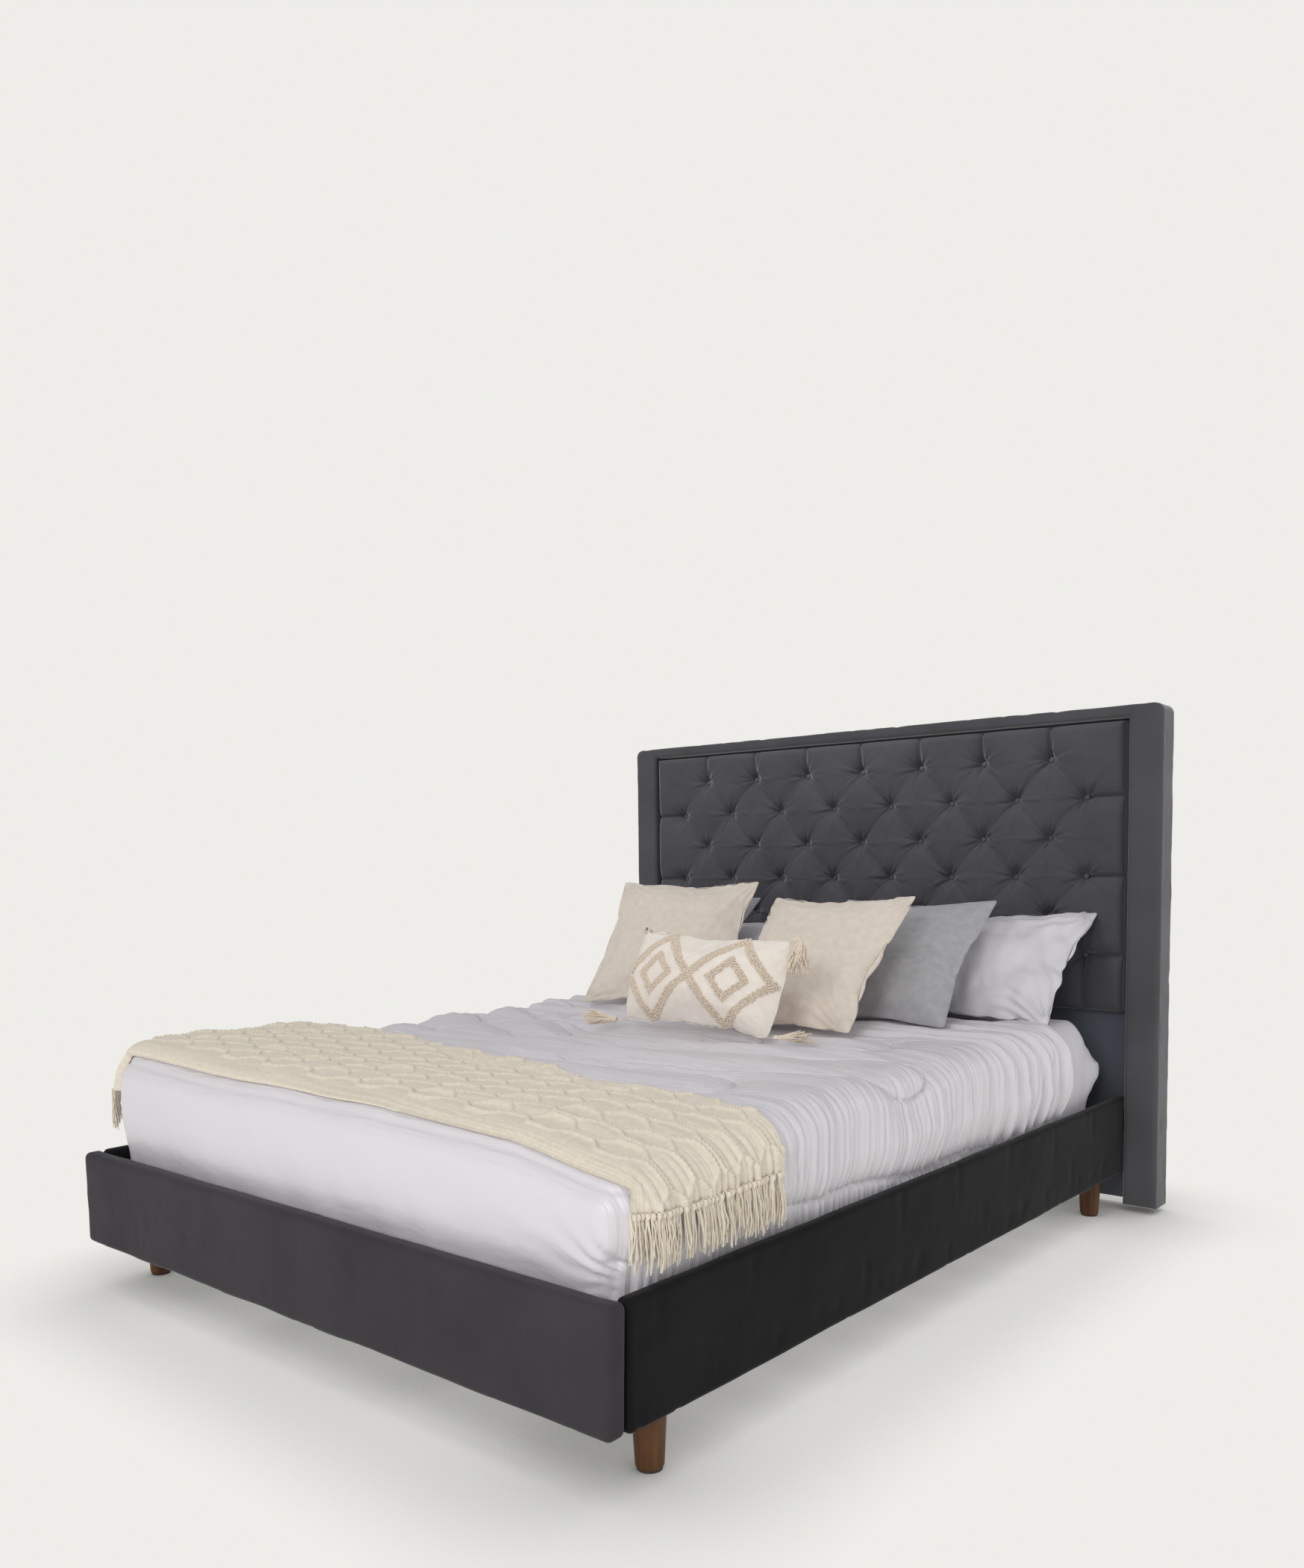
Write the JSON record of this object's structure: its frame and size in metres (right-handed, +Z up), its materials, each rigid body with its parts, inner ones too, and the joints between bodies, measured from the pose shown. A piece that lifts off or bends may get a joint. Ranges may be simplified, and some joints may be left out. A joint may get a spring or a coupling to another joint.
{
  "type": "upholstered headboard bed",
  "caption": "Velvet platform bed with a button-tufted headboard between padded side borders, slatted base, wooden legs, mattress, bedding and loose pillows.",
  "frame": {"origin": "on the floor, in the middle of the bed's footprint", "axes": "+Z up, +Y towards the headboard, +X towards the right side as seen from the foot"},
  "size_m": [1.87, 2.215, 1.4],
  "materials": {
    "velvet": "short-pile charcoal velvet with a cool sheen",
    "plywood": "raw birch plywood",
    "pine": "planed pine",
    "steel": "zinc-plated steel",
    "black_steel": "black powder coat",
    "black_plastic": "moulded black plastic pad on a steel screw",
    "walnut": "walnut stain under satin lacquer",
    "felt": "dark felt glide",
    "lining": "black non-woven lining",
    "ticking": "woven mattress ticking",
    "white_cotton": "smooth white cotton sateen",
    "cream_knit": "chunky cream acrylic knit",
    "grey_linen": "plain grey linen",
    "beige_linen": "slubby beige linen",
    "cream_cotton": "cream cotton canvas with tufted yarn"
  },
  "bodies": {
    "bed_frame": {"footboard_core": "plywood", "footboard_cover": "velvet", "left_rail_core": "pine", "left_rail_cover": "velvet", "right_rail_core": "pine", "right_rail_cover": "velvet", "corner_brackets": "steel", "frame_bolts": "steel", "left_ledger": "pine", "right_ledger": "pine", "centre_beam": "black_steel", "foot_support_leg": "black_steel", "head_support_leg": "black_steel", "corner_boards": "plywood", "foot_left_leg": "walnut", "foot_right_leg": "walnut", "head_left_leg": "walnut", "head_right_leg": "walnut", "leg_bolts": "steel", "leg_glides": "felt", "slat_1": "pine", "slat_2": "pine", "slat_3": "pine", "slat_4": "pine", "slat_5": "pine", "slat_6": "pine", "slat_7": "pine", "slat_8": "pine", "slat_9": "pine", "slat_10": "pine", "slat_11": "pine", "slat_12": "pine", "headboard_left_post": "pine", "headboard_right_post": "pine", "headboard_top_board": "pine", "headboard_cross_rails": "pine", "left_border_cover": "velvet", "right_border_cover": "velvet", "top_border_cover": "velvet", "recess_panel": "velvet", "tufted_board": "plywood", "tufted_pad": "velvet", "tufting_buttons": "velvet", "rear_lining": "lining"},
    "foot_levelling": {"foot_levelling_screw": "black_plastic"},
    "head_levelling": {"head_levelling_screw": "black_plastic"},
    "mattress": {"mattress": "ticking", "fitted_sheet": "white_cotton"},
    "comforter": {"comforter": "white_cotton"},
    "throw": {"throw_blanket": "cream_knit", "throw_fringe": "cream_knit"},
    "left_white_pillow": {"left_white_pillow": "white_cotton"},
    "right_white_pillow": {"right_white_pillow": "white_cotton"},
    "left_grey_pillow": {"left_grey_pillow": "grey_linen"},
    "right_grey_pillow": {"right_grey_pillow": "grey_linen"},
    "left_beige_pillow": {"left_beige_pillow": "beige_linen"},
    "right_beige_pillow": {"right_beige_pillow": "beige_linen"},
    "lumbar_cushion": {"lumbar_cushion": "cream_cotton", "cushion_tassels": "cream_cotton"}
  },
  "joints": [
    {"name": "foot_levelling_turn", "type": "slide", "parent": "bed_frame", "child": "foot_levelling", "axis": [0, 0, 1], "range_m": [0, 0.012]},
    {"name": "head_levelling_turn", "type": "slide", "parent": "bed_frame", "child": "head_levelling", "axis": [0, 0, 1], "range_m": [0, 0.012]},
    {"name": "mattress_lift", "type": "slide", "parent": "bed_frame", "child": "mattress", "axis": [0, 0, 1], "range_m": [0, 0.35]},
    {"name": "comforter_lift", "type": "slide", "parent": "mattress", "child": "comforter", "axis": [0, 0, 1], "range_m": [0, 0.25]},
    {"name": "throw_lift", "type": "slide", "parent": "comforter", "child": "throw", "axis": [0, 0, 1], "range_m": [0, 0.2]},
    {"name": "left_white_pillow_lift", "type": "slide", "parent": "comforter", "child": "left_white_pillow", "axis": [0, 0, 1], "range_m": [0, 0.2]},
    {"name": "right_white_pillow_lift", "type": "slide", "parent": "comforter", "child": "right_white_pillow", "axis": [0, 0, 1], "range_m": [0, 0.2]},
    {"name": "left_grey_pillow_lift", "type": "slide", "parent": "left_white_pillow", "child": "left_grey_pillow", "axis": [0, 0, 1], "range_m": [0, 0.2]},
    {"name": "right_grey_pillow_lift", "type": "slide", "parent": "right_white_pillow", "child": "right_grey_pillow", "axis": [0, 0, 1], "range_m": [0, 0.2]},
    {"name": "left_beige_pillow_lift", "type": "slide", "parent": "left_grey_pillow", "child": "left_beige_pillow", "axis": [0, 0, 1], "range_m": [0, 0.2]},
    {"name": "right_beige_pillow_lift", "type": "slide", "parent": "right_grey_pillow", "child": "right_beige_pillow", "axis": [0, 0, 1], "range_m": [0, 0.2]},
    {"name": "lumbar_cushion_lift", "type": "slide", "parent": "right_beige_pillow", "child": "lumbar_cushion", "axis": [0, 0, 1], "range_m": [0, 0.2]}
  ]
}
